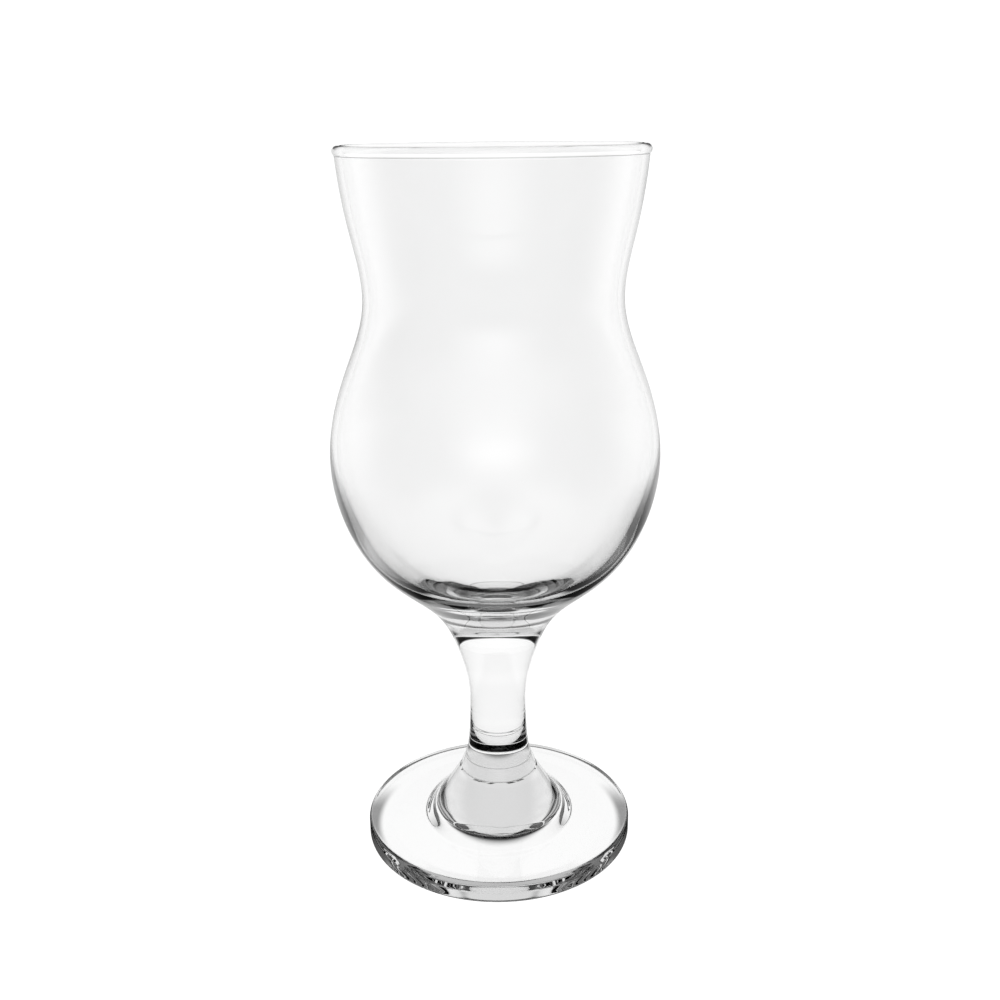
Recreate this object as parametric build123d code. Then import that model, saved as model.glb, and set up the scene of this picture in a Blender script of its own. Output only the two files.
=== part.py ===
from build123d import *
from math import cos, radians, sin
import os

# Hurricane glass of clear glass: a blown bowl, a solid stem, a collar and a pressed foot, each welded to
# the next at a flat face. Millimetres, +Z up. The origin is on the axis, on the plane the foot stands on.

# Foot
foot_height = 19.0              # from the table to the weld with the collar
foot_radius = 36.4
foot_edge_height = 5.8          # where the edge and the top would meet without their rounding
foot_top_round = 1.3
foot_bottom_round = 1.2
foot_ring_width = 6.0           # flat ring that the glass stands on
foot_recess_depth = 5.0         # recess under the middle of the foot
foot_recess_radius = 16.5       # its flat ceiling
foot_recess_mouth = 20.0
foot_recess_round = 1.5
foot_dish_depth = 1.0           # shallow dish between the ring and the recess
foot_flare_radius = 17.8        # crease where the flare rises from the top
foot_flare_start = 8.1          # height of that crease
foot_crease_round = 5.0

# Collar
collar_height = 4.0
collar_bottom_radius = 10.7     # weld with the foot
collar_top_radius = 9.1         # weld with the stem
collar_edge_round = 0.6         # leaves a fine groove along each weld

# Stem
stem_length = 35.0
stem_radius = 7.7               # straight middle of the stem
stem_foot_flare = 10.5          # height over which the stem widens to the collar
stem_bowl_flare = 15.0          # height over which it widens to the bowl
stem_foot_lean = 18.0           # degrees from upright at the collar
neck_radius = 11.6              # weld with the bowl
neck_lean = 21.0                # degrees from upright there

# Bowl, outside: radii, and heights above the weld with the stem
bowl_height = 127.0
base_radius = 16.3
base_height = 8.3
flank_radius = 31.1
flank_height = 22.0
lower_belly_radius = 38.9
lower_belly_height = 35.0
belly_radius = 41.9
belly_height = 51.5
shoulder_radius = 37.8
shoulder_height = 71.5
waist_radius = 32.2
waist_height = 89.5
flare_radius = 34.8
flare_height = 108.0
lip_radius = 37.25              # outside of the wall, under the bead
lip_lean = 5.0                  # degrees from upright there
lip_bead_height = 2.3

# Bowl, inside: walls measured square to the outside, and the floor above the weld with the stem
flank_wall = 2.7
lower_belly_wall = 2.4
belly_wall = 1.8
shoulder_wall = 1.8
waist_wall = 1.7
flare_wall = 1.7
lip_wall = 1.7
floor_height = 13.0

# Heights of the welds and of the rim
collar_base = foot_height
stem_base = collar_base + collar_height
bowl_base = stem_base + stem_length
rim = bowl_base + bowl_height


def leaning(degrees):
    """Direction that runs up and leans out from upright by so many degrees."""
    return Vector(sin(radians(degrees)), cos(radians(degrees)))


def inset(outline, point, depth):
    """Point that lies a depth in from a point of an outline, square to it. The outline runs upward."""
    along = outline.tangent_at(outline.param_at_point(point))
    return Vector(*point) + Vector(-along.Y, along.X) * depth


def smooth(points, start, end):
    """Curve through points that leaves along one direction and arrives along another at an even pace."""
    return Spline(*points, tangents=[start, end], tangent_scalars=[1, 1])


def turned(*lines):
    """Solid turned about +Z from lines of (radius, height) that close a half outline."""
    edges = [edge for line in lines for edge in line.edges()]
    return revolve(Plane.XZ * make_face(edges), axis=Axis.Z)


def make_foot():
    """Disc with a dished and recessed underside, a rounded edge and a straight flare up to the collar."""
    ring_inside = foot_radius - foot_bottom_round - foot_ring_width
    weld = (collar_bottom_radius, foot_height)
    outside = FilletPolyline(
        (ring_inside, 0),
        (foot_radius, 0),
        (foot_radius, foot_edge_height),
        (foot_flare_radius, foot_flare_start),
        weld,
        radius=[foot_bottom_round, foot_top_round, foot_crease_round],
    )
    middle = Polyline(weld, (0, foot_height), (0, foot_recess_depth))
    hollow = FilletPolyline(
        (0, foot_recess_depth),
        (foot_recess_radius, foot_recess_depth),
        (foot_recess_mouth, foot_dish_depth),
        (ring_inside, 0),
        radius=foot_recess_round,
    )
    return turned(outside, middle, hollow)


def make_collar():
    """Low cone whose two edges are rounded, so that a fine groove runs along each weld."""
    side = FilletPolyline(
        (0, collar_base),
        (collar_bottom_radius, collar_base),
        (collar_top_radius, stem_base),
        (0, stem_base),
        radius=collar_edge_round,
    )
    axis = Line((0, stem_base), (0, collar_base))
    return turned(side, axis)


def make_stem():
    """Solid stem, straight in the middle and flared to the collar and to the bowl."""
    low = (collar_top_radius, stem_base)
    high = (neck_radius, bowl_base)
    straight_start = (stem_radius, stem_base + stem_foot_flare)
    straight_end = (stem_radius, bowl_base - stem_bowl_flare)
    points = [low, straight_start, straight_end, high]
    side = smooth(points, leaning(-stem_foot_lean), leaning(neck_lean))
    ends = Polyline(high, (0, bowl_base), (0, stem_base), low)
    return turned(side, ends)


def make_bowl():
    """Tulip-shaped vessel with a thick bottom and one round bead over the end of its wall."""
    weld = (neck_radius, bowl_base)
    base = (base_radius, bowl_base + base_height)
    walled = [
        ((flank_radius, bowl_base + flank_height), flank_wall),
        ((lower_belly_radius, bowl_base + lower_belly_height), lower_belly_wall),
        ((belly_radius, bowl_base + belly_height), belly_wall),
        ((shoulder_radius, bowl_base + shoulder_height), shoulder_wall),
        ((waist_radius, bowl_base + waist_height), waist_wall),
        ((flare_radius, bowl_base + flare_height), flare_wall),
    ]
    lip_outside = Vector(lip_radius, rim - lip_bead_height)
    lip_inside = lip_outside - Vector(lip_wall, 0)
    floor = Vector(0, bowl_base + floor_height)

    outer_points = [weld, base] + [point for point, wall in walled] + [lip_outside]
    outside = smooth(outer_points, leaning(neck_lean), leaning(lip_lean))
    inner_points = [floor] + [inset(outside, point, wall) for point, wall in walled] + [lip_inside]
    inside = smooth(inner_points, Vector(1, 0), leaning(lip_lean))
    bead = ThreePointArc(lip_outside, (lip_radius - lip_wall / 2, rim), lip_inside)
    ends = Polyline(floor, (0, bowl_base), weld)
    return turned(outside, bead, inside, ends)


os.makedirs("parts", exist_ok=True)
export_step(make_foot(), "parts/foot.step")
export_step(make_collar(), "parts/collar.step")
export_step(make_stem(), "parts/stem.step")
export_step(make_bowl(), "parts/bowl.step")
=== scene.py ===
"""Clear hurricane glass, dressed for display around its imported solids.

Lengths are metres and +Z is up. The glass stands on the floor at the origin, four pieces of clear glass
turned about +Z: a foot, a collar, a stem and a bowl, each fused to the next at a flat face.
"""

import logging
from abc import ABC, abstractmethod
from dataclasses import dataclass, field
from enum import Enum, IntEnum
from math import cos, pi, radians, sin, tan

import bpy
import numpy as np
from mathutils import Matrix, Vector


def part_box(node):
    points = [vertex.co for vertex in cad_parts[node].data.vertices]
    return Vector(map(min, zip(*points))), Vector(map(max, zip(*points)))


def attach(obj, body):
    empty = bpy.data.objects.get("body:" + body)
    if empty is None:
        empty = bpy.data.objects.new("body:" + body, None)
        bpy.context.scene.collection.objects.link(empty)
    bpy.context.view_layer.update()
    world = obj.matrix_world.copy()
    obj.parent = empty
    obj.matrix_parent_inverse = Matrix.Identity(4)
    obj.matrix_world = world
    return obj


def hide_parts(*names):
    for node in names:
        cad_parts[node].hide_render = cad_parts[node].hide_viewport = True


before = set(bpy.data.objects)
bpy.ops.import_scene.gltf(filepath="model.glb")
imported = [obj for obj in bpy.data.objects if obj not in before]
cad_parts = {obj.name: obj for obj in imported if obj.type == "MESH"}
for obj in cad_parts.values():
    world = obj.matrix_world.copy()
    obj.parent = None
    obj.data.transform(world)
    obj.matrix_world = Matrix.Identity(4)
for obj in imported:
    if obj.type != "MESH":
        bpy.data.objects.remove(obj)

log = logging.getLogger("hurricane_glass")

MM = 0.001
BODY = "root"
FEWEST_STEPS = 4
ARC_STEP = radians(7)
SHARP_ANGLE = radians(28)
LEVEL_TILT = 90.0
HALF = 0.5

Point = tuple[float, float]
Pair = tuple[float, float]
Place = tuple[float, float, float]
Colour = tuple[float, float, float, float]
Socket = bpy.types.NodeSocket
Value = Socket | float
WHITE: Colour = (1.0, 1.0, 1.0, 1.0)


class Side(IntEnum):
    """Material slots of a piece of glass."""

    SURFACE = 0
    WELD = 1


class Reflected(Enum):
    """How often light was reflected on its way, each as the number that the count is over."""

    ONCE = 0.5
    OFTEN = 1.5
    LOST = 3.5


# Outlines


def leaning(degrees: float) -> np.ndarray:
    """Direction that runs up and leans out from upright by so many degrees."""
    return np.array([sin(radians(degrees)), cos(radians(degrees))])


@dataclass
class SmoothCurve:
    """Curve through points of (radius, height), with a given direction at each end."""

    points: list[Point] | np.ndarray
    start: np.ndarray
    end: np.ndarray
    places: np.ndarray = field(init=False)
    slopes: np.ndarray = field(init=False)

    def __post_init__(self) -> None:
        """Works out the direction of the curve at each point, so that its bend is even through them."""
        self.points = np.array(self.points, float)
        gaps = np.linalg.norm(np.diff(self.points, axis=0), axis=1)
        self.places = np.concatenate([[0.0], np.cumsum(gaps)])
        count = len(self.points)
        system = np.eye(count)
        target = np.zeros((count, 2))
        target[0], target[-1] = self.start, self.end
        for i in range(1, count - 1):
            before, after = gaps[i - 1], gaps[i]
            system[i, i - 1 : i + 2] = 1 / before, 2 / before + 2 / after, 1 / after
            rise_before = (self.points[i] - self.points[i - 1]) / before**2
            rise_after = (self.points[i + 1] - self.points[i]) / after**2
            target[i] = 3 * (rise_before + rise_after)
        self.slopes = np.linalg.solve(system, target)

    def sample(self, spacing: float) -> np.ndarray:
        """Evenly spaced points along the curve.

        Args:
            spacing: distance between the points.

        Returns:
            Rows of (radius, height), the two end points included.
        """
        count = max(FEWEST_STEPS, round(self.places[-1] / spacing))
        along = np.linspace(0, self.places[-1], count + 1)
        piece = np.searchsorted(self.places, along, side="right") - 1
        piece = np.clip(piece, 0, len(self.points) - 2)
        gap = (self.places[piece + 1] - self.places[piece])[:, None]
        t = (along - self.places[piece])[:, None] / gap
        first, last = self.points[piece], self.points[piece + 1]
        leave, arrive = self.slopes[piece] * gap, self.slopes[piece + 1] * gap
        return (
            (1 + 2 * t) * (1 - t) ** 2 * first
            + t * (1 - t) ** 2 * leave
            + t**2 * (3 - 2 * t) * last
            + t**2 * (t - 1) * arrive
        )

    def inset(self, index: int, depth: float) -> Point:
        """Point that lies a depth in from one of the curve's own points, square to the curve."""
        along = self.slopes[index] / np.linalg.norm(self.slopes[index])
        return tuple(self.points[index] + np.array([-along[1], along[0]]) * depth)


def arc_through(first: Point, middle: Point, last: Point, count: int) -> np.ndarray:
    """Points along the circular arc through three points.

    Args:
        first: where the arc starts.
        middle: a point on the way.
        last: where it ends.
        count: number of steps.

    Returns:
        Rows of (radius, height), the two end points included.
    """
    a, b, c = (np.array(p, float) for p in (first, middle, last))
    centre = np.linalg.solve(2 * np.array([b - a, c - a]), [b @ b - a @ a, c @ c - a @ a])
    start, end = (np.arctan2(*(p - centre)[::-1]) for p in (a, c))
    turn = 1.0 if np.linalg.det(np.array([b - a, c - b])) > 0 else -1.0
    sweep = (turn * (end - start)) % (2 * pi) * turn
    angles = start + sweep * np.linspace(0, 1, count + 1)
    return centre + np.linalg.norm(a - centre) * np.column_stack([np.cos(angles), np.sin(angles)])


def rounded_line(points: list[Point], rounds: list[float], spacing: float) -> np.ndarray:
    """Points along a line whose inner corners are rounded.

    Args:
        points: corners of the line, from end to end.
        rounds: radius at each inner corner.
        spacing: longest distance between points on the straight stretches.

    Returns:
        Rows of (radius, height), the two end points included.
    """
    corners = [np.array(p, float) for p in points]
    bent = [corners[0]]
    for before, corner, after, radius in zip(corners, corners[1:], corners[2:], rounds):
        arrive = (corner - before) / np.linalg.norm(corner - before)
        leave = (after - corner) / np.linalg.norm(after - corner)
        turn = np.arctan2(arrive[0] * leave[1] - arrive[1] * leave[0], arrive @ leave)
        reach = radius * tan(abs(turn) / 2)
        start, end = corner - arrive * reach, corner + leave * reach
        centre = start + np.array([-arrive[1], arrive[0]]) * radius * np.sign(turn)
        outward = corner - centre
        middle = centre + outward / np.linalg.norm(outward) * radius
        bent.extend(arc_through(start, middle, end, max(FEWEST_STEPS, round(abs(turn) / ARC_STEP))))
    bent.append(corners[-1])
    line = [bent[0]]
    for point in bent[1:]:
        begin = line[-1]
        steps = max(1, int(np.ceil(np.linalg.norm(point - begin) / spacing)))
        line.extend(begin + (point - begin) * i / steps for i in range(1, steps + 1))
    return np.array(line)


@dataclass(frozen=True)
class Ripple:
    """Slight unevenness that cooling glass keeps: soft waves round a piece and along its outline."""

    depth: float
    wave: float
    lobes: tuple[int, int]
    seed: int
    start: float = 0.0
    end: float = 1.0
    terms: int = 9
    pace: Pair = (0.4, 1.6)

    def offsets(self, along: np.ndarray, angles: np.ndarray) -> np.ndarray:
        """How far each point stands out from the even surface.

        Args:
            along: distance along the outline of each ring of points.
            angles: angle of each point of a ring.

        Returns:
            One row for each ring, and in it one distance for each point.
        """
        draw = np.random.default_rng(self.seed)
        share = np.clip((along / along[-1] - self.start) / (self.end - self.start), 0, 1)
        fade = (np.sin(pi * share) ** 2)[:, None]
        total = np.zeros((len(along), len(angles)))
        for _ in range(self.terms):
            lobe = draw.integers(self.lobes[0], self.lobes[1] + 1)
            rate = draw.uniform(*self.pace) * 2 * pi / self.wave
            phase, shift = draw.uniform(0, 2 * pi, 2)
            total += np.cos(lobe * angles[None, :] + phase) * np.cos(rate * along[:, None] + shift)
        return self.depth * fade * total / self.terms**0.5


@dataclass
class Run:
    """One stretch of a half outline."""

    points: np.ndarray
    side: Side = Side.SURFACE
    ripple: Ripple | None = None


# Finishes


def blank_material(name: str) -> bpy.types.Material:
    """Makes a material with an empty node tree.

    Args:
        name: name of the material.

    Returns:
        The material.
    """
    material = bpy.data.materials.new(name)
    material.use_nodes = True
    material.node_tree.nodes.clear()
    return material


@dataclass(frozen=True)
class Spot:
    """Place of a point on a level surface: across the set, along it, and away from a centre."""

    x: Socket
    y: Socket
    reach: Socket


@dataclass(frozen=True)
class NodeBoard:
    """Short calls that add nodes to a tree and wire them up."""

    tree: bpy.types.NodeTree

    def add(self, kind: str) -> bpy.types.Node:
        """Adds a node."""
        return self.tree.nodes.new(f"ShaderNode{kind}")

    def feed(self, target: Socket, value: Value | Colour | Place) -> None:
        """Wires a socket to a value, or sets it where the value is plain numbers.

        Args:
            target: the socket.
            value: what it gets.
        """
        if isinstance(value, Socket):
            self.tree.links.new(value, target)
        else:
            target.default_value = value

    def math(self, operation: str, first: Value, second: Value = 0.0) -> Socket:
        """One step of arithmetic.

        Args:
            operation: name of the step.
            first: its first value.
            second: its second value, where it has two.

        Returns:
            The result.
        """
        node = self.add("Math")
        node.operation = operation
        self.feed(node.inputs[0], first)
        self.feed(node.inputs[1], second)
        return node.outputs["Value"]

    def ease(self, value: Value, edge: Pair, low: Value, high: Value) -> Socket:
        """Soft step from one level to another.

        Args:
            value: what decides the step.
            edge: values where the step starts and ends.
            low: level before the step.
            high: level after it.

        Returns:
            The level.
        """
        node = self.add("MapRange")
        node.interpolation_type = "SMOOTHSTEP"
        names = ("Value", "From Min", "From Max", "To Min", "To Max")
        for name, setting in zip(names, (value, *edge, low, high)):
            self.feed(node.inputs[name], setting)
        return node.outputs["Result"]

    def swing(self, value: Value, edge: Pair, low: Value, high: Value) -> Socket:
        """Soft step from one level to another, decided by an angle and with its edge in degrees."""
        return self.ease(value, (radians(edge[0]), radians(edge[1])), low, high)

    def pick(self, choice: Value, usual: Value, other: Value) -> Socket:
        """Chooses between two levels.

        Args:
            choice: 0 for the usual level and 1 for the other.
            usual: the first level.
            other: the second one.

        Returns:
            The level.
        """
        node = self.add("MapRange")
        self.feed(node.inputs["Value"], choice)
        self.feed(node.inputs["To Min"], usual)
        self.feed(node.inputs["To Max"], other)
        return node.outputs["Result"]

    def spot(self, centre: Place) -> Spot:
        """Finds where a point of a level surface lies.

        Args:
            centre: place that its distance is measured from.

        Returns:
            The spot.
        """
        place, axes, reach = self.add("TexCoord"), self.add("SeparateXYZ"), self.add("VectorMath")
        reach.operation = "DISTANCE"
        self.feed(axes.inputs["Vector"], place.outputs["Object"])
        self.feed(reach.inputs[0], place.outputs["Object"])
        self.feed(reach.inputs[1], centre)
        return Spot(axes.outputs["X"], axes.outputs["Y"], reach.outputs["Value"])


@dataclass(frozen=True)
class ClearGlass:
    """Clear soda glass: a trace of body colour in soft cords, and a faint wave left by the fire."""

    name: str
    thin: Colour
    thick: Colour
    cord_scale: float
    wave_scale: float
    wave_strength: float
    wave_height: float
    cord_detail: float = 1.0
    wave_detail: float = 0.0
    index: float = 1.5
    roughness: float = 0.0
    clearness: float = 1.0

    def material(self) -> bpy.types.Material:
        """Builds the node material.

        Returns:
            The material.
        """
        material = blank_material(self.name)
        board = NodeBoard(material.node_tree)
        place, cords, tint = board.add("TexCoord"), board.add("TexNoise"), board.add("ValToRGB")
        waves, bump = board.add("TexNoise"), board.add("Bump")
        glass, output = board.add("BsdfPrincipled"), board.add("OutputMaterial")
        tint.color_ramp.elements[0].color = self.thin
        tint.color_ramp.elements[1].color = self.thick
        for socket, value in (
            (cords.inputs["Vector"], place.outputs["Object"]),
            (cords.inputs["Scale"], self.cord_scale),
            (cords.inputs["Detail"], self.cord_detail),
            (tint.inputs["Fac"], cords.outputs["Fac"]),
            (waves.inputs["Vector"], place.outputs["Object"]),
            (waves.inputs["Scale"], self.wave_scale),
            (waves.inputs["Detail"], self.wave_detail),
            (bump.inputs["Height"], waves.outputs["Fac"]),
            (bump.inputs["Strength"], self.wave_strength),
            (bump.inputs["Distance"], self.wave_height),
            (glass.inputs["Base Color"], tint.outputs["Color"]),
            (glass.inputs["Roughness"], self.roughness),
            (glass.inputs["IOR"], self.index),
            (glass.inputs["Transmission Weight"], self.clearness),
            (glass.inputs["Normal"], bump.outputs["Normal"]),
            (output.inputs["Surface"], glass.outputs["BSDF"]),
        ):
            board.feed(socket, value)
        return material


@dataclass(frozen=True)
class FusedWeld:
    """Inside of a weld, where two pieces are one glass and light goes straight on."""

    name: str = "fused_weld"
    clear: Colour = WHITE

    def material(self) -> bpy.types.Material:
        """Builds the node material.

        Returns:
            The material.
        """
        material = blank_material(self.name)
        board = NodeBoard(material.node_tree)
        through, output = board.add("BsdfTransparent"), board.add("OutputMaterial")
        board.feed(through.inputs["Color"], self.clear)
        board.feed(output.inputs["Surface"], through.outputs["BSDF"])
        return material


BLOWN = ClearGlass(
    name="blown_glass",
    thin=WHITE,
    thick=(0.975, 0.976, 0.976, 1.0),
    cord_scale=22.0,
    wave_scale=55.0,
    wave_strength=0.06,
    wave_height=0.4 * MM,
)
PRESSED = ClearGlass(
    name="pressed_glass",
    thin=(0.955, 0.956, 0.956, 1.0),
    thick=(0.935, 0.936, 0.936, 1.0),
    cord_scale=40.0,
    wave_scale=120.0,
    wave_strength=0.08,
    wave_height=0.3 * MM,
)


# Pieces of glass


@dataclass
class TurnedGlass(ABC):
    """A piece of clear glass turned about +Z, standing where its solid stands in the frame."""

    node: str
    slot: str
    finish: ClearGlass
    points_round: int = 224
    spacing: float = 0.6 * MM

    @property
    def low(self) -> float:
        """Height of the bottom of the piece."""
        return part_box(self.node)[0].z

    @property
    def high(self) -> float:
        """Height of the top of the piece."""
        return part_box(self.node)[1].z

    @abstractmethod
    def outline(self) -> list[Run]:
        """Half outline of the piece, in runs that join from one place on the axis to another."""

    def weld(self, first: Point, last: Point) -> Run:
        """Straight run across a face that is fused to the next piece."""
        return Run(np.array([first, last], float), Side.WELD)

    def rings(self) -> tuple[np.ndarray, list[Side]]:
        """Turns the outline.

        Returns:
            Points by ring and angle as (x, y, z), and the material slot of the band after each ring.
        """
        angles = 2 * pi * np.arange(self.points_round) / self.points_round
        rows, sides = [], []
        for run in self.outline():
            steps = np.gradient(run.points, axis=0)
            out = np.column_stack([steps[:, 1], -steps[:, 0]]) / np.linalg.norm(steps, axis=1)[:, None]
            lengths = np.linalg.norm(np.diff(run.points, axis=0), axis=1)
            along = np.concatenate([[0.0], np.cumsum(lengths)])
            lift = np.zeros((len(along), self.points_round))
            if run.ripple:
                lift = run.ripple.offsets(along, angles)
            radius = run.points[:, :1] + out[:, :1] * lift
            height = run.points[:, 1:] + out[:, 1:] * lift
            ring = np.stack([radius * np.cos(angles), radius * np.sin(angles), height], axis=-1)
            rows.extend(ring[1:] if rows else ring)
            sides.extend([run.side] * (len(ring) - 1))
        return np.array(rows), sides

    def mesh(self) -> bpy.types.Mesh:
        """Builds the closed surface of the piece.

        Returns:
            The mesh, smooth along its outline and sharp round its welds.
        """
        rings, sides = self.rings()
        points = np.vstack([rings[0, :1], rings[1:-1].reshape(-1, 3), rings[-1, :1]])
        step = np.arange(self.points_round)
        beside = np.roll(step, -1)
        faces, slots = [], []
        for band, side in enumerate(sides):
            here = 1 + (band - 1) * self.points_round + step
            there = here + self.points_round
            if band == 0:
                made = [np.zeros_like(step), there[beside], there]
            elif band == len(sides) - 1:
                made = [here, here[beside], np.full_like(step, len(points) - 1)]
            else:
                made = [here, here[beside], there[beside], there]
            faces.extend(np.column_stack(made).tolist())
            slots.extend([int(side)] * self.points_round)
        mesh = bpy.data.meshes.new(self.node)
        mesh.from_pydata(points.tolist(), [], faces)
        mesh.polygons.foreach_set("material_index", slots)
        mesh.shade_smooth()
        mesh.set_sharp_from_angle(angle=SHARP_ANGLE)
        mesh.update()
        return mesh

    def dress(self, mesh: bpy.types.Mesh, weld: bpy.types.Material) -> None:
        """Gives the surface its glass and the faces inside the welds theirs, in the order of Side."""
        mesh.materials.append(self.finish.material())
        mesh.materials.append(weld)

    def build(self, weld: bpy.types.Material) -> bpy.types.Object:
        """Makes the piece, dresses it and puts it on its body.

        Args:
            weld: material of the faces that are fused to other pieces.

        Returns:
            The piece.
        """
        mesh = self.mesh()
        self.dress(mesh, weld)
        piece = bpy.data.objects.new(f"glass_{self.node}", mesh)
        bpy.context.scene.collection.objects.link(piece)
        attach(piece, BODY)
        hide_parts(self.node)
        log.info("%s: %d faces", piece.name, len(mesh.polygons))
        return piece


@dataclass
class Foot(TurnedGlass):
    """Thick disc with a recessed underside, a rounded edge and a straight flare up to the collar."""

    radius: float = 36.4 * MM
    edge_height: float = 5.8 * MM
    top_round: float = 1.3 * MM
    bottom_round: float = 1.2 * MM
    ring_width: float = 6.0 * MM
    recess_depth: float = 5.0 * MM
    recess_radius: float = 16.5 * MM
    recess_mouth: float = 20.0 * MM
    recess_round: float = 1.5 * MM
    dish_depth: float = 1.0 * MM
    flare_radius: float = 17.8 * MM
    flare_start: float = 8.1 * MM
    crease_round: float = 5.0 * MM
    weld_radius: float = 10.7 * MM
    top_ripple: Ripple = Ripple(depth=0.015 * MM, wave=9 * MM, lobes=(2, 9), seed=4)
    hollow_ripple: Ripple = Ripple(depth=0.025 * MM, wave=7 * MM, lobes=(2, 11), seed=9)

    def outline(self) -> list[Run]:
        """Half outline, from the ceiling of the recess round to the weld with the collar.

        Returns:
            Its runs: the hollow, the ring with the lower half of the edge, the top, and the weld.
        """
        ring_inside = self.radius - self.bottom_round - self.ring_width
        halfway = (self.radius, self.edge_height / 2)
        weld = (self.weld_radius, self.high)
        hollow = [
            (0.0, self.recess_depth),
            (self.recess_radius, self.recess_depth),
            (self.recess_mouth, self.dish_depth),
            (ring_inside, 0.0),
        ]
        under = [(ring_inside, 0.0), (self.radius, 0.0), halfway]
        over = [halfway, (self.radius, self.edge_height), (self.flare_radius, self.flare_start), weld]
        hollow = rounded_line(hollow, [self.recess_round, self.recess_round], self.spacing)
        under = rounded_line(under, [self.bottom_round], self.spacing)
        over = rounded_line(over, [self.top_round, self.crease_round], self.spacing)
        return [
            Run(hollow, ripple=self.hollow_ripple),
            Run(under),
            Run(over, ripple=self.top_ripple),
            self.weld(weld, (0.0, self.high)),
        ]


@dataclass
class Collar(TurnedGlass):
    """Low cone between stem and foot, its edges rounded so that a fine groove runs along each weld."""

    bottom_radius: float = 10.7 * MM
    top_radius: float = 9.1 * MM
    edge_round: float = 0.6 * MM

    def outline(self) -> list[Run]:
        """Half outline, from the weld with the foot up to the weld with the stem.

        Returns:
            Its runs: the lower weld, the side with its two rounded edges, and the upper weld.
        """
        corners = [
            (self.bottom_radius / 2, self.low),
            (self.bottom_radius, self.low),
            (self.top_radius, self.high),
            (self.top_radius / 2, self.high),
        ]
        side = rounded_line(corners, [self.edge_round, self.edge_round], self.spacing)
        flat = np.isclose(side[:, 1], self.low) | np.isclose(side[:, 1], self.high)
        first, last = np.flatnonzero(~flat)[[0, -1]]
        side = side[first - 1 : last + 2]
        return [
            self.weld((0.0, self.low), side[0]),
            Run(side),
            self.weld(side[-1], (0.0, self.high)),
        ]


@dataclass
class Stem(TurnedGlass):
    """Solid stem, straight in the middle and flared to the collar and to the bowl."""

    spacing: float = 0.2 * MM
    radius: float = 7.7 * MM
    foot_flare: float = 10.5 * MM
    bowl_flare: float = 15.0 * MM
    foot_radius: float = 9.1 * MM
    foot_lean: float = 18.0
    neck_radius: float = 11.6 * MM
    neck_lean: float = 21.0
    seam_height: float = 9.7 * MM
    seam_depth: float = 0.018 * MM
    seam_width: float = 0.35 * MM

    def outline(self) -> list[Run]:
        """Half outline, from the weld with the collar up to the weld with the bowl.

        Returns:
            Its runs: the lower weld, the side with the faint line round it, and the upper weld.
        """
        low, high = (self.foot_radius, self.low), (self.neck_radius, self.high)
        points = [
            low,
            (self.radius, self.low + self.foot_flare),
            (self.radius, self.high - self.bowl_flare),
            high,
        ]
        curve = SmoothCurve(points, leaning(-self.foot_lean), leaning(self.neck_lean))
        side = curve.sample(self.spacing)
        seam = (side[:, 1] - self.low - self.seam_height) / self.seam_width
        side[:, 0] += self.seam_depth * np.exp(-(seam**2))
        return [
            self.weld((0.0, self.low), low),
            Run(side),
            self.weld(high, (0.0, self.high)),
        ]


@dataclass(frozen=True)
class Station:
    """Outside radius of the bowl at a height over its weld, and the wall there."""

    radius: float
    height: float
    wall: float


@dataclass
class Bowl(TurnedGlass):
    """Tulip-shaped vessel with a thick bottom and one round bead over the end of its wall."""

    spacing: float = 0.7 * MM
    weld_radius: float = 11.6 * MM
    weld_lean: float = 21.0
    base_radius: float = 16.3 * MM
    base_height: float = 8.3 * MM
    stations: tuple[Station, ...] = (
        Station(31.1 * MM, 22.0 * MM, 2.7 * MM),
        Station(38.9 * MM, 35.0 * MM, 2.4 * MM),
        Station(41.9 * MM, 51.5 * MM, 1.8 * MM),
        Station(37.8 * MM, 71.5 * MM, 1.8 * MM),
        Station(32.2 * MM, 89.5 * MM, 1.7 * MM),
        Station(34.8 * MM, 108.0 * MM, 1.7 * MM),
    )
    lip_radius: float = 37.25 * MM
    lip_lean: float = 5.0
    lip_wall: float = 1.7 * MM
    bead_height: float = 2.3 * MM
    bead_steps: int = 28
    floor_height: float = 13.0 * MM
    outer_ripple: Ripple = Ripple(depth=0.02 * MM, wave=40 * MM, lobes=(1, 5), seed=21)
    inner_ripple: Ripple = Ripple(depth=0.05 * MM, wave=9 * MM, lobes=(1, 7), seed=33, start=0.74)

    def outline(self) -> list[Run]:
        """Half outline, from the weld up the outside, over the lip and down the inside to the floor.

        Returns:
            Its runs: the weld, the outside, the bead and the inside.
        """
        below = [(self.weld_radius, self.low), (self.base_radius, self.low + self.base_height)]
        walled = [(s.radius, self.low + s.height) for s in self.stations]
        lip_outside = (self.lip_radius, self.high - self.bead_height)
        lip_inside = (self.lip_radius - self.lip_wall, lip_outside[1])
        crown = (self.lip_radius - self.lip_wall / 2, self.high)
        floor = (0.0, self.low + self.floor_height)
        lip_up = leaning(self.lip_lean)
        outer = SmoothCurve([*below, *walled, lip_outside], leaning(self.weld_lean), lip_up)
        inset = [outer.inset(len(below) + i, s.wall) for i, s in enumerate(self.stations)]
        inner = SmoothCurve([floor, *inset, lip_inside], np.array([1.0, 0.0]), lip_up)
        return [
            self.weld((0.0, self.low), below[0]),
            Run(outer.sample(self.spacing), ripple=self.outer_ripple),
            Run(arc_through(lip_outside, crown, lip_inside, self.bead_steps)),
            Run(inner.sample(self.spacing)[::-1], ripple=self.inner_ripple),
        ]


# Studio


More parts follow.
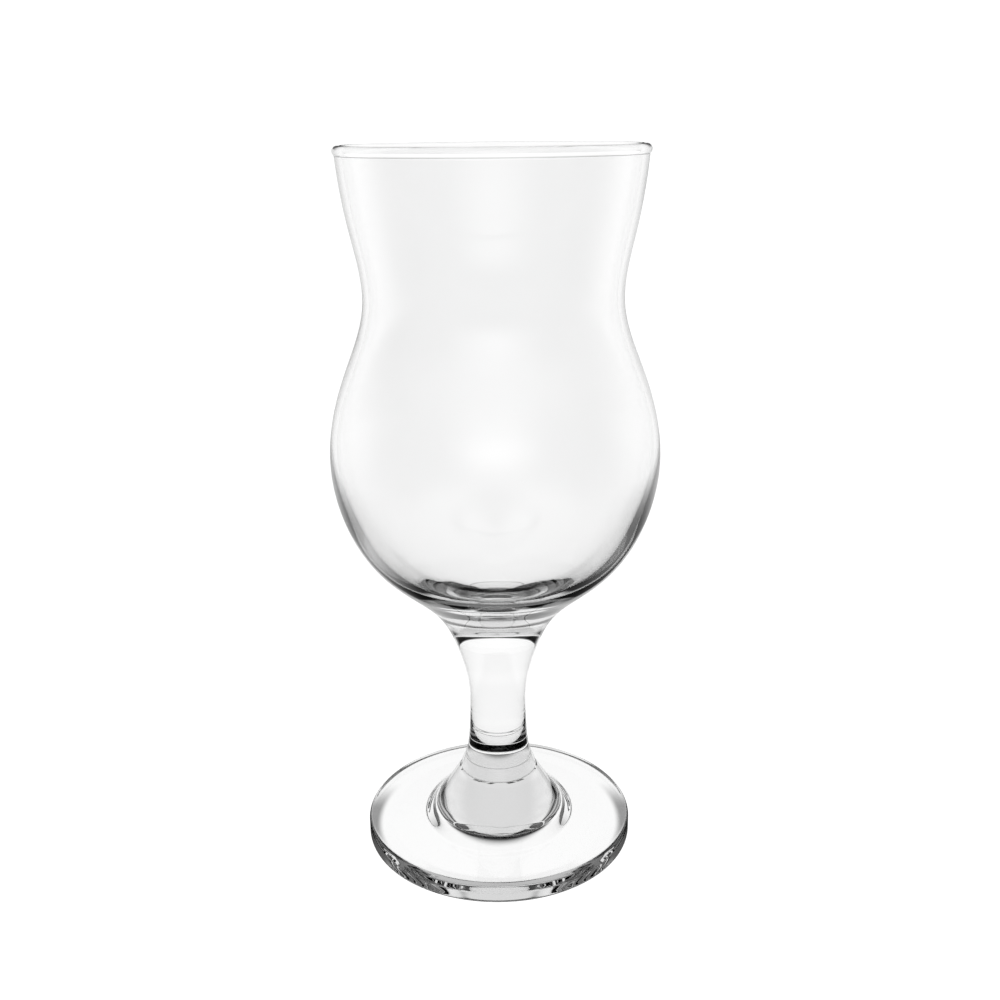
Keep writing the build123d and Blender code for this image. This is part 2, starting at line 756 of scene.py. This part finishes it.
@dataclass(frozen=True)
class Surroundings:
    """What light thrown about by the glass meets: pale behind it, dark beside it and in front.

    The edges are angles in degrees from the middle of the backdrop.
    """

    centre: float = 0.78
    behind: float = 1.02
    behind_edge: Pair = (22.0, 38.0)
    front: float = 0.03
    front_edge: Pair = (50.0, 105.0)
    window: float = 0.9
    window_edge: Pair = (30.0, 50.0)
    beside: float = 0.13
    beside_edge: Pair = (115.0, 150.0)

    def turn(self, board: NodeBoard, x: Value, y: Value) -> Socket:
        """Angle of a level direction from the middle of the backdrop, by its parts across and along."""
        return board.math("ARCTAN2", board.math("ABSOLUTE", x), y)

    def once(self, board: NodeBoard, turn: Value) -> Socket:
        """Brightness that light meets at an angle after one reflection."""
        back = board.swing(turn, self.behind_edge, self.centre, self.behind)
        return board.swing(turn, self.front_edge, back, self.front)

    def often(self, board: NodeBoard, turn: Value) -> Socket:
        """Brightness that light meets at an angle after two or three reflections."""
        side = board.swing(turn, self.beside_edge, self.beside, 0.0)
        return board.swing(turn, self.window_edge, self.window, side)


@dataclass(frozen=True)
class ByReflections:
    """Picks a level by how often light was reflected on its way."""

    board: NodeBoard
    path: bpy.types.Node

    def level(self, never: Value, once: Value, often: Value, lost: Value) -> Value:
        """One of four levels.

        Args:
            never: level for light that was only bent.
            once: level after one reflection.
            often: level after two or three.
            lost: level after more.

        Returns:
            The level.
        """
        level = never
        for reflected, after in zip(Reflected, (once, often, lost)):
            past = self.board.math("GREATER_THAN", self.path.outputs["Glossy Depth"], reflected.value)
            level = self.board.pick(past, level, after)
        return level


@dataclass(frozen=True)
class LightTable:
    """Pale lit floor, with painted shadows and painted dark flag patches that only light from the glass
    can find.
    """

    around: Surroundings
    name: str = "light_table"
    level: float = 1.12
    # Slightly dimmer lane that widens from the spot below the photograph's viewpoint, a fixed place
    lane_level: float = 1.06
    lane_start: float = -288 * MM
    lane_edge: Pair = (0.13, 0.24)
    # Shadows under the middle of the foot and under its standing ring
    contact_centre: Place = (0.0, -2 * MM, 0.0)
    contact_edge: Pair = (11.5 * MM, 15.5 * MM)
    ring_depth: float = 0.75
    ring_inner: Pair = (31.8 * MM, 34.0 * MM)
    ring_outer: Pair = (35.5 * MM, 37 * MM)
    ring_back: Pair = (2 * MM, 16 * MM)
    # Dark flag patches painted on the floor, on both sides of a tongue of light that widens toward the
    # backdrop
    tongue_root: float = 4 * MM
    tongue_near: float = 42 * MM
    tongue_near_edge: Pair = (5 * MM, 35 * MM)
    tongue_far: float = 105 * MM
    tongue_far_edge: Pair = (50 * MM, 170 * MM)
    painted_flag_depth: float = 0.97
    painted_flag_left: float = 0.45
    painted_flag_right: float = 0.8
    painted_flag_soft: Pair = (-5 * MM, 5 * MM)
    painted_flag_thin: Pair = (60 * MM, 140 * MM)
    painted_flag_fade: Pair = (150 * MM, 330 * MM)
    # Levels after two or three reflections, and after more
    under: float = 0.55
    under_edge: Pair = (18 * MM, 28 * MM)
    under_front: Pair = (-12 * MM, -6 * MM)
    pale: float = 0.8
    pale_side: Pair = (12 * MM, 20 * MM)
    pale_back: Pair = (10 * MM, 25 * MM)
    deep_edge: Pair = (80 * MM, 200 * MM)
    lost: float = 0.22

    def shadow(self, board: NodeBoard, spot: Spot) -> Socket:
        """How much light the standing ring leaves on the floor, on the side away from the backdrop.

        Args:
            board: where the nodes go.
            spot: place on the floor.

        Returns:
            Share of the light that is left, 0 to 1.
        """
        ring = board.ease(spot.reach, self.ring_inner, 0.0, self.ring_depth)
        ring = board.ease(spot.reach, self.ring_outer, ring, 0.0)
        ring = board.ease(spot.y, self.ring_back, ring, 0.0)
        return board.math("SUBTRACT", 1.0, ring)

    def painted_flag_shade(self, board: NodeBoard, spot: Spot) -> Socket:
        """How much light is left where dark flag patches are painted on the floor.

        Args:
            board: where the nodes go.
            spot: place on the floor.

        Returns:
            Share of the light that is left, 0 to 1.
        """
        near = board.ease(spot.y, self.tongue_near_edge, self.tongue_root, self.tongue_near)
        gap = board.ease(spot.y, self.tongue_far_edge, near, self.tongue_far)
        past = board.math("SUBTRACT", board.math("ABSOLUTE", spot.x), gap)
        middle = (-self.tongue_near, self.tongue_near)
        thin = board.ease(spot.x, middle, self.painted_flag_left, self.painted_flag_right)
        depth = board.ease(spot.reach, self.painted_flag_thin, self.painted_flag_depth, thin)
        side = board.ease(past, self.painted_flag_soft, 0.0, depth)
        faded = board.ease(spot.reach, self.painted_flag_fade, side, 0.0)
        return board.math("SUBTRACT", 1.0, faded)

    def deep(self, board: NodeBoard, spot: Spot, turn: Value) -> Socket:
        """Level that light meets on the floor after two or three reflections.

        Args:
            board: where the nodes go.
            spot: place on the floor.
            turn: its angle from the middle of the backdrop.

        Returns:
            The level, which is low near the glass, and pale under it, beside its back and far behind.
        """
        under = board.ease(spot.y, self.under_front, 0.0, self.under)
        pale = board.ease(board.math("ABSOLUTE", spot.x), self.pale_side, 0.0, self.pale)
        near = board.ease(spot.y, self.pale_back, self.around.beside, pale)
        under = board.ease(spot.reach, self.under_edge, under, near)
        return board.ease(spot.reach, self.deep_edge, under, self.around.often(board, turn))

    def material(self) -> bpy.types.Material:
        """Builds the node material, which is plain and pale to the camera.

        Returns:
            The material.
        """
        material = blank_material(self.name)
        board = NodeBoard(material.node_tree)
        path, glow, output = board.add("LightPath"), board.add("Emission"), board.add("OutputMaterial")
        # Painted floor levels, seen only by light that comes through or off the glass: a dimmer lane,
        # painted shadows under the foot and its standing ring, painted dark flag patches, and lower
        # levels after more reflections. The camera sees the plain level.
        spot = board.spot(self.contact_centre)
        turn = self.around.turn(board, spot.x, spot.y)
        ahead = board.math("SUBTRACT", spot.y, self.lane_start)
        spread = board.math("DIVIDE", board.math("ABSOLUTE", spot.x), ahead)
        lane = board.ease(spread, self.lane_edge, self.lane_level, self.level)
        lane = board.math("MULTIPLY", lane, self.shadow(board, spot))
        once = board.math("MULTIPLY", self.around.once(board, turn), self.painted_flag_shade(board, spot))
        lane, once = (board.ease(spot.reach, self.contact_edge, 0.0, level) for level in (lane, once))
        often = self.deep(board, spot, turn)
        through = ByReflections(board, path).level(lane, once, often, self.lost)
        seen = board.pick(path.outputs["Is Camera Ray"], through, self.level)
        board.feed(glow.inputs["Strength"], seen)
        board.feed(output.inputs["Surface"], glow.outputs["Emission"])
        return material


@dataclass(frozen=True)
class NeckCard:
    """Level black card behind the glass, which only light that the glass bends upward can find."""

    around: Surroundings
    name: str = "neck_card"
    height: float = 100 * MM
    half_width: float = 240 * MM
    depth: Pair = (60 * MM, 180 * MM)
    centre: Place = (0.0, 10 * MM, 0.0)
    near_edge: Pair = (84 * MM, 97 * MM)
    far_edge: Pair = (104 * MM, 128 * MM)
    far_spread: float = 0.45
    side_edge: Pair = (40.0, 60.0)

    def material(self) -> bpy.types.Material:
        """Builds the node material, which is clear wherever the card isn't meant to be found.

        Returns:
            The material.
        """
        material = blank_material(self.name)
        board = NodeBoard(material.node_tree)
        path, facing = board.add("LightPath"), board.add("NewGeometry")
        card, output = board.add("BsdfTransparent"), board.add("OutputMaterial")
        spot = board.spot(self.centre)
        turn = self.around.turn(board, spot.x, spot.y)
        spread = board.math("MULTIPLY", board.math("ABSOLUTE", spot.x), self.far_spread)
        clear = board.ease(spot.reach, self.near_edge, 1.0, 0.0)
        clear = board.ease(board.math("SUBTRACT", spot.y, spread), self.far_edge, clear, 1.0)
        clear = board.swing(turn, self.side_edge, clear, 1.0)
        seen, reflected = path.outputs["Is Camera Ray"], path.outputs["Glossy Depth"]
        for other in (seen, reflected, facing.outputs["Backfacing"]):
            clear = board.pick(board.math("GREATER_THAN", other, HALF), clear, 1.0)
        board.feed(card.inputs["Color"], clear)
        board.feed(output.inputs["Surface"], card.outputs["BSDF"])
        return material

    def hang(self) -> bpy.types.Object:
        """Hangs the card, its dark side down.

        Returns:
            The card.
        """
        wide, (near, far) = self.half_width, self.depth
        corners = [(-wide, near, 0.0), (-wide, far, 0.0), (wide, far, 0.0), (wide, near, 0.0)]
        mesh = bpy.data.meshes.new(self.name)
        mesh.from_pydata(corners, [], [tuple(range(len(corners)))])
        mesh.materials.append(self.material())
        card = bpy.data.objects.new(self.name, mesh)
        card.location.z = self.height
        bpy.context.scene.collection.objects.link(card)
        return card


@dataclass
class Studio:
    """Pale lit floor, a pale backdrop all round and a soft light overhead.

    The levels after reflections stand for dark cards round the glass, which the camera doesn't see.
    The edges are angles in degrees, up from the floor or, for a side or a turn, from the middle of the
    backdrop.
    """

    floor_radius: float = 6.0
    floor_drop: float = 0.02 * MM
    floor_corners: int = 96
    backdrop: float = 1.12
    overhead: float = 0.78
    overhead_edge: Pair = (24.5, 27.5)
    # After one reflection: a dark patch low on the backdrop, and a card in front of the glass
    glow_edge: Pair = (15.0, 45.0)
    patch: float = 0.05
    patch_low: Pair = (3.0, 6.0)
    patch_high: Pair = (13.0, 16.0)
    patch_side: Pair = (18.0, 26.0)
    card: float = 0.9
    card_top: float = 0.15
    card_low: Pair = (-4.0, 16.0)
    card_high: Pair = (18.0, 50.0)
    card_side: Pair = (132.0, 178.0)
    # After two or three reflections, and after more
    window_edge: Pair = (28.0, 36.0)
    lost_low: float = 0.15
    lost_high: float = 0.6
    lost_turn: Pair = (105.0, 140.0)
    lost_rise: Pair = (20.0, 34.0)
    around: Surroundings = Surroundings()

    def lay_floor(self) -> bpy.types.Object:
        """Lays the lit floor that the glass stands on.

        Returns:
            The floor.
        """
        reach = self.floor_radius
        turns = 2 * pi * np.arange(self.floor_corners) / self.floor_corners
        corners = [(reach * cos(t), reach * sin(t), -self.floor_drop) for t in turns]
        mesh = bpy.data.meshes.new("floor")
        mesh.from_pydata(corners, [], [tuple(range(self.floor_corners))])
        mesh.materials.append(LightTable(self.around).material())
        floor = bpy.data.objects.new("floor", mesh)
        bpy.context.scene.collection.objects.link(floor)
        return floor

    def once(self, board: NodeBoard, rise: Value, turn: Value) -> Socket:
        """Brightness that light meets after one reflection.

        Args:
            board: where the nodes go.
            rise: angle up from the floor.
            turn: angle from the middle of the backdrop.

        Returns:
            The brightness.
        """
        back = self.around.once(board, turn)
        patch = board.swing(turn, self.patch_side, self.patch, back)
        patch = board.swing(rise, self.patch_low, back, patch)
        back = board.swing(rise, self.patch_high, patch, back)
        back = board.swing(rise, self.glow_edge, back, self.overhead)
        card = board.swing(rise, self.card_low, self.around.front, self.card)
        card = board.swing(rise, self.card_high, card, self.card_top)
        return board.swing(turn, self.card_side, back, card)

    def often(self, board: NodeBoard, rise: Value, turn: Value) -> Socket:
        """Brightness that light meets after two or three reflections, for the angles up and round."""
        return board.swing(rise, self.window_edge, self.around.often(board, turn), 0.0)

    def lost(self, board: NodeBoard, rise: Value, turn: Value) -> Socket:
        """Brightness that light meets after more reflections, for the angles up and round."""
        high = board.swing(turn, self.lost_turn, self.lost_low, self.lost_high)
        return board.swing(rise, self.lost_rise, self.lost_low, high)

    def light(self) -> bpy.types.World:
        """Hangs the backdrop all round and the soft light overhead.

        Returns:
            The world.
        """
        world = bpy.data.worlds.new("studio")
        bpy.context.scene.world = world
        world.use_nodes = True
        world.node_tree.nodes.clear()
        board = NodeBoard(world.node_tree)
        place, axes, path = board.add("TexCoord"), board.add("SeparateXYZ"), board.add("LightPath")
        glow, output = board.add("Background"), board.add("OutputWorld")
        board.feed(axes.inputs["Vector"], place.outputs["Generated"])
        rise = board.math("ARCSINE", axes.outputs["Z"])
        turn = self.around.turn(board, axes.outputs["X"], axes.outputs["Y"])
        never = board.swing(rise, self.overhead_edge, self.backdrop, self.overhead)
        reflected = (made(board, rise, turn) for made in (self.once, self.often, self.lost))
        through = ByReflections(board, path).level(never, *reflected)
        seen = board.pick(path.outputs["Is Camera Ray"], through, self.backdrop)
        board.feed(glow.inputs["Color"], WHITE)
        board.feed(glow.inputs["Strength"], seen)
        board.feed(output.inputs["Surface"], glow.outputs["Background"])
        return world


@dataclass
class PhotoCamera:
    """Camera that stands where the photograph was taken from."""

    name: str = "photo_camera"
    distance: float = 288.5 * MM
    height: float = 189.7 * MM
    aside: float = 1.1 * MM
    pitch: float = 17.89
    roll: float = 0.54
    lens_mm: float = 42.08
    sensor_mm: float = 36.0
    clip: Pair = (0.01, 50.0)

    def place(self) -> bpy.types.Object:
        """Makes the camera and gives it to the scene.

        Returns:
            The camera.
        """
        data = bpy.data.cameras.new(self.name)
        data.lens, data.sensor_width = self.lens_mm, self.sensor_mm
        data.clip_start, data.clip_end = self.clip
        camera = bpy.data.objects.new(self.name, data)
        bpy.context.scene.collection.objects.link(camera)
        stand = Matrix.Translation((self.aside, -self.distance, self.height))
        tilt = Matrix.Rotation(radians(LEVEL_TILT - self.pitch), 4, "X")
        camera.matrix_world = stand @ tilt @ Matrix.Rotation(radians(-self.roll), 4, "Z")
        bpy.context.scene.camera = camera
        return camera


@dataclass(frozen=True)
class LightPaths:
    """How far light is followed through thick clear glass, and how it is shown."""

    bounces: int = 32
    glossy: int = 6
    transmission: int = 32
    transparent: int = 64
    view: str = "Standard"

    def apply(self) -> None:
        """Sets the scene's light paths and its view transform."""
        scene = bpy.context.scene
        scene.cycles.max_bounces = self.bounces
        scene.cycles.glossy_bounces = self.glossy
        scene.cycles.transmission_bounces = self.transmission
        scene.cycles.transparent_max_bounces = self.transparent
        scene.view_settings.view_transform = self.view


def main() -> None:
    """Builds the glass from the foot up and sets the studio round it."""
    logging.basicConfig(level=logging.INFO, format="%(message)s")
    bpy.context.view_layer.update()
    weld = FusedWeld().material()
    pieces = [
        Foot("foot", "pressed_glass", PRESSED),
        Collar("collar", "pressed_glass", PRESSED),
        Stem("stem", "pressed_glass", PRESSED),
        Bowl("bowl", "blown_glass", BLOWN),
    ]
    for piece in pieces:
        piece.build(weld)
    studio = Studio()
    studio.lay_floor()
    NeckCard(studio.around).hang()
    studio.light()
    PhotoCamera().place()
    LightPaths().apply()


if __name__ == "__main__":
    main()
